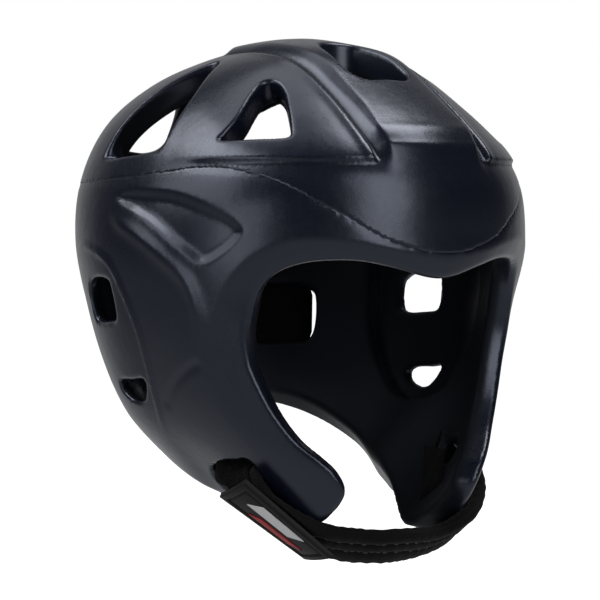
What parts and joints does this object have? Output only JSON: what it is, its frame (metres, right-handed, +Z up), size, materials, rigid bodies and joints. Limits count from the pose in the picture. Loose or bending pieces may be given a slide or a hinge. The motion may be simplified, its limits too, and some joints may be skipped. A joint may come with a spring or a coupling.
{
  "type": "kickboxing headgear",
  "caption": "Open-face padded head guard of dipped foam with a vented crown, cheek and ear protection, and a padded chin strap; worn in sparring.",
  "frame": {"origin": "the inside top of the crown, where the wearer's head carries the guard", "axes": "+Z up out of the crown, the face towards -Y, the wearer's right towards -X"},
  "size_m": [0.2124, 0.2397, 0.2493],
  "materials": {
    "dipped_skin": "satin vinyl skin over foam",
    "strap_fabric": "matt woven",
    "pile_tape": "fuzzy pile",
    "patch_rubber": "satin moulded"
  },
  "bodies": {
    "root": {"crown_shell": "dipped_skin", "lower_guard": "dipped_skin", "chin_strap": "strap_fabric", "strap_tail": "pile_tape", "rubber_patch": "patch_rubber", "rear_strap": "strap_fabric"}
  },
  "joints": []
}
